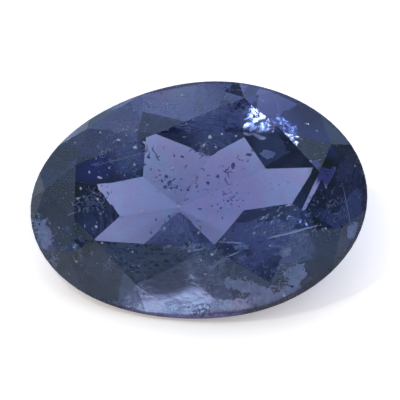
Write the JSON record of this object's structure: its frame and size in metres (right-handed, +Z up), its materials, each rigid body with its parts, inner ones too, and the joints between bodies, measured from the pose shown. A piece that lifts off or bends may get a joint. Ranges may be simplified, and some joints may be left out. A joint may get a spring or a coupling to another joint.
{
  "type": "faceted iolite",
  "caption": "Loose oval iolite, cut with flat facets to a table, a crown, a thin girdle and a pointed pavilion; clear violet-blue crystal that lies on one pavilion facet",
  "frame": {"origin": "centre of the stone's bounding box seen from above, on the surface that the stone lies on", "axes": "+Z up from that surface; +X along the length of the oval; the table faces -Y and up, 45.7 degrees from +Z"},
  "size_m": [0.01, 0.0052, 0.0054],
  "materials": {
    "iolite": "polished clear crystal, violet-blue"
  },
  "bodies": {
    "root": {"faceted_iolite": "iolite"}
  },
  "joints": []
}
